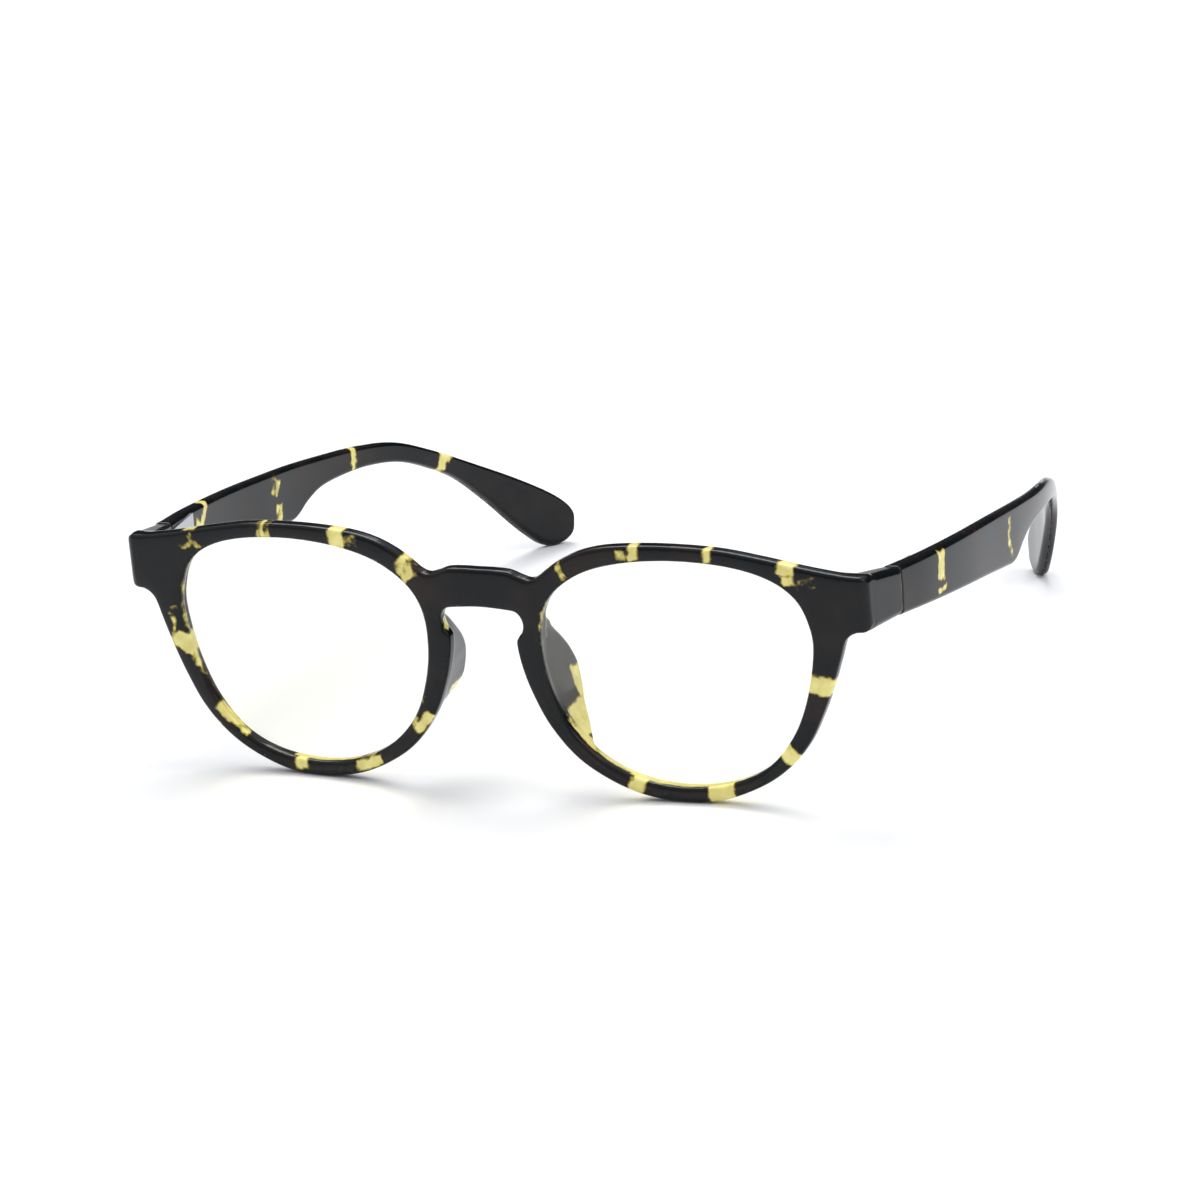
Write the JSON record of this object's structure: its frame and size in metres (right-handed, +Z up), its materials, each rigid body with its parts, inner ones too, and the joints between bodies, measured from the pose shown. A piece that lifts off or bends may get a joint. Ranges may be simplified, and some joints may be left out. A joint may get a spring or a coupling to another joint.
{
  "type": "reading glasses",
  "caption": "Keyhole-bridge tortoise plastic reading glasses with moulded nose pads, clear lenses and drop temples that fold in on three-knuckle screw hinges.",
  "frame": {"origin": "middle of the box round the opened glasses, on the table that they stand on", "axes": "+X to the right across the face as seen from in front, +Y back towards the ears, +Z up; the two halves mirror each other in the plane X = 0"},
  "size_m": [0.1502, 0.1496, 0.0486],
  "materials": {
    "tortoise_plastic": "polished dark brown and black plastic with clear straw-yellow patches",
    "lens": "clear polished acrylic",
    "hinge_steel": "satin",
    "screw_steel": "bright"
  },
  "bodies": {
    "front": {"front_frame": "tortoise_plastic", "lens_right": "lens", "lens_left": "lens", "front_leaf_right": "hinge_steel", "front_leaf_left": "hinge_steel", "hinge_screw_right": "screw_steel", "hinge_screw_left": "screw_steel", "front_leaf_screws_right": "screw_steel", "front_leaf_screws_left": "screw_steel"},
    "right_temple": {"temple_right": "tortoise_plastic", "temple_leaf_right": "hinge_steel", "temple_leaf_screws_right": "screw_steel"},
    "left_temple": {"temple_left": "tortoise_plastic", "temple_leaf_left": "hinge_steel", "temple_leaf_screws_left": "screw_steel"}
  },
  "joints": [
    {"name": "right_fold", "type": "hinge", "parent": "front", "child": "right_temple", "pos_m": [0.0685, -0.05572, 0.0369], "axis": [0, 0, 1], "range_deg": [0, 84]},
    {"name": "left_fold", "type": "hinge", "parent": "front", "child": "left_temple", "pos_m": [-0.0685, -0.05572, 0.0369], "axis": [0, 0, -1], "range_deg": [0, 80]}
  ]
}
